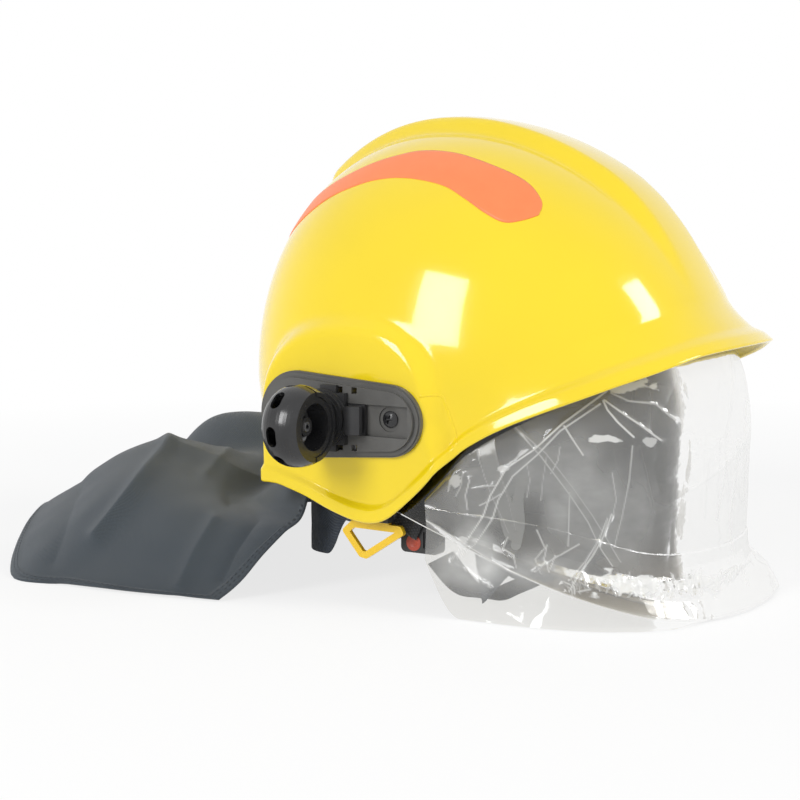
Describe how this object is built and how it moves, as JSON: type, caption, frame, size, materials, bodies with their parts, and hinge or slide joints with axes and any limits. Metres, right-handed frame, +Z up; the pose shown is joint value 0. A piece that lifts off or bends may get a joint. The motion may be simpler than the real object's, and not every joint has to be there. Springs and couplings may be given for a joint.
{
  "type": "fire helmet",
  "caption": "Yellow fire helmet with a drop-down clear visor under a loose film, a dark neck cape, side plates, a torch clamp, swinging strap loops and a geared size knob.",
  "frame": {"origin": "point on the table under the helmet, on its middle plane, 35 mm ahead of the visor's pivot", "axes": "+X is the front of the helmet, +Y the wearer's left, +Z up"},
  "size_m": [0.4706, 0.3258, 0.27],
  "materials": {
    "shell_yellow": "gloss, moulded and lacquered",
    "band_orange": "satin retroreflective foil",
    "plate_grey": "satin dark grey",
    "steel": "bright zinc",
    "chrome": "bright",
    "black_plastic": "matt black",
    "black_gloss": "gloss black",
    "visor_clear": "clear polycarbonate",
    "film_clear": "thin clear film, creased",
    "foam_black": "moulded foam",
    "pad_cloth": "padded knit",
    "webbing": "woven webbing",
    "rack_nylon": "nylon",
    "button_red": "satin red-brown",
    "loop_yellow": "satin yellow",
    "cape_cloth": "twill, stitched hem"
  },
  "bodies": {
    "helmet": {"outer_shell": "shell_yellow", "reflective_band": "band_orange", "side_plate_right": "plate_grey", "side_plate_left": "plate_grey", "plate_screws": "steel", "plate_nuts": "steel", "pivot_spacers": "black_plastic", "pivot_bolts": "steel", "impact_liner": "foam_black", "liner_spacers": "foam_black", "headband": "black_plastic", "brow_pad": "pad_cloth", "crown_straps": "webbing", "crown_pad": "pad_cloth", "harness_clips": "black_plastic", "size_housing": "black_plastic", "chin_strap_right": "webbing", "chin_strap_left": "webbing", "strap_anchors": "steel", "strap_slider": "black_plastic", "buckle_body": "black_plastic", "chin_cup": "foam_black", "loop_brackets": "black_plastic", "loop_pins": "steel", "cape_rail": "black_plastic", "cape_studs": "black_plastic", "cape": "cape_cloth", "ear_curtain_right": "cape_cloth", "ear_curtain_left": "cape_cloth"},
    "visor": {"visor": "visor_clear", "visor_film": "film_clear"},
    "clamp_carriage": {"lamp_carriage": "black_plastic"},
    "clamp_latch": {"lamp_latch": "black_gloss"},
    "torch_holder": {"lamp_turntable": "black_gloss", "lamp_cup": "black_gloss", "lamp_collar": "black_gloss", "lamp_insert": "chrome"},
    "size_wheel": {"size_knob": "black_plastic", "size_pinion": "steel"},
    "rack_left": {"size_rack_left": "rack_nylon"},
    "rack_right": {"size_rack_right": "rack_nylon"},
    "loop_right": {"strap_loop_right": "loop_yellow"},
    "loop_left": {"strap_loop_left": "loop_yellow"},
    "buckle_release": {"buckle_button": "button_red"}
  },
  "joints": [
    {"name": "visor_pivot", "type": "hinge", "parent": "helmet", "child": "visor", "pos_m": [-0.035, 0, 0.089], "axis": [0, -1, 0], "range_deg": [0, 32], "deforming": ["visor_film"]},
    {"name": "clamp_slide", "type": "slide", "parent": "helmet", "child": "clamp_carriage", "axis": [1, 0, 0], "range_m": [0, 0.008]},
    {"name": "latch_push", "type": "slide", "parent": "clamp_carriage", "child": "clamp_latch", "axis": [0, 1, 0], "range_m": [0, 0.0012], "stiffness_N_per_m": 500},
    {"name": "torch_turn", "type": "hinge", "parent": "clamp_carriage", "child": "torch_holder", "pos_m": [-0.05, -0.132, 0.1045], "axis": [0, -1, 0], "range_deg": [-60, 60]},
    {"name": "size_turn", "type": "hinge", "parent": "helmet", "child": "size_wheel", "pos_m": [-0.11, 0, 0.096], "axis": [1, 0, 0], "range_deg": [0, 57]},
    {"name": "rack_left_slide", "type": "slide", "parent": "helmet", "child": "rack_left", "axis": [0, -1, 0], "range_m": [0, 0.006]},
    {"name": "rack_right_slide", "type": "slide", "parent": "helmet", "child": "rack_right", "axis": [0, 1, 0], "range_m": [0, 0.006]},
    {"name": "loop_right_swing", "type": "hinge", "parent": "helmet", "child": "loop_right", "pos_m": [-0.028, -0.111, 0.0505], "axis": [-1, 0, 0], "range_deg": [-10, 25]},
    {"name": "loop_left_swing", "type": "hinge", "parent": "helmet", "child": "loop_left", "pos_m": [-0.028, 0.111, 0.0505], "axis": [1, 0, 0], "range_deg": [-10, 25]},
    {"name": "buckle_push", "type": "slide", "parent": "helmet", "child": "buckle_release", "axis": [0, 1, 0], "range_m": [0, 0.0012], "stiffness_N_per_m": 500}
  ],
  "couplings": [
    {"joint": "rack_left_slide", "follows": "size_turn", "m_per_rad": 0.006},
    {"joint": "rack_right_slide", "follows": "size_turn", "m_per_rad": 0.006}
  ]
}
